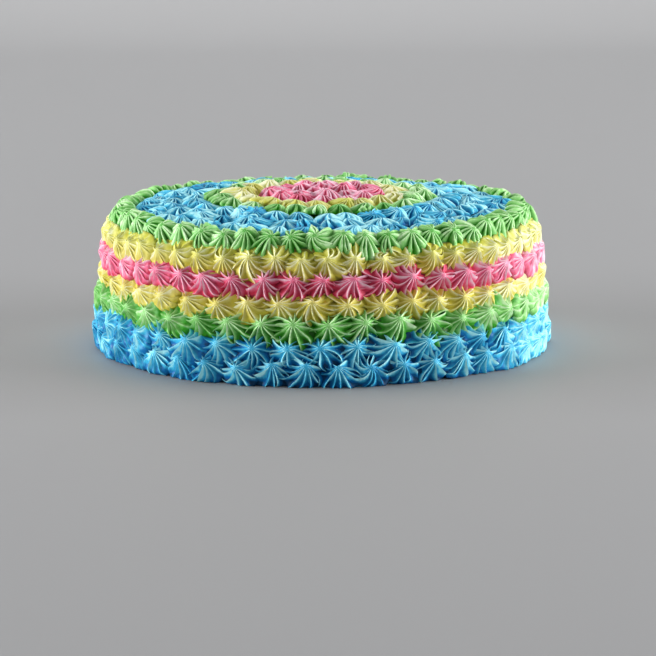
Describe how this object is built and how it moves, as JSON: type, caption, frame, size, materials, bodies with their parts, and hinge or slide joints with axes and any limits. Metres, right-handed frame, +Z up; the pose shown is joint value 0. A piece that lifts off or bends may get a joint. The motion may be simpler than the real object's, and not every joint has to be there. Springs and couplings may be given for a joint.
{
  "type": "star-piped layer cake",
  "caption": "Round uncut cake covered all over with rows of piped buttercream stars in blue, green, yellow and pink bands.",
  "frame": {"origin": "centre of the cake's round base, on the surface that it stands on", "axes": "+Z up along the cake's axis, -Y towards the side that the picture shows, +X to the right of that view"},
  "size_m": [0.2198, 0.2198, 0.0755],
  "materials": {
    "base_coat": "sponge with a thin coat of pale buttercream, hidden under the stars",
    "blue_icing": "soft piped buttercream, satin, sky blue with paler ridges",
    "green_icing": "soft piped buttercream, satin, fresh green with paler ridges",
    "yellow_icing": "soft piped buttercream, satin, pale yellow with paler ridges",
    "pink_icing": "soft piped buttercream, satin, bright pink with paler ridges"
  },
  "bodies": {
    "root": {"cake_body": "base_coat", "side_blue_low": "blue_icing", "side_blue_high": "blue_icing", "side_green": "green_icing", "side_yellow_low": "yellow_icing", "side_pink": "pink_icing", "side_yellow_high": "yellow_icing", "edge_green": "green_icing", "top_blue_outer": "blue_icing", "top_blue_middle": "blue_icing", "top_blue_inner": "blue_icing", "top_green": "green_icing", "top_yellow": "yellow_icing", "top_pink_outer": "pink_icing", "top_pink_inner": "pink_icing", "top_pink_centre": "pink_icing"}
  },
  "joints": []
}
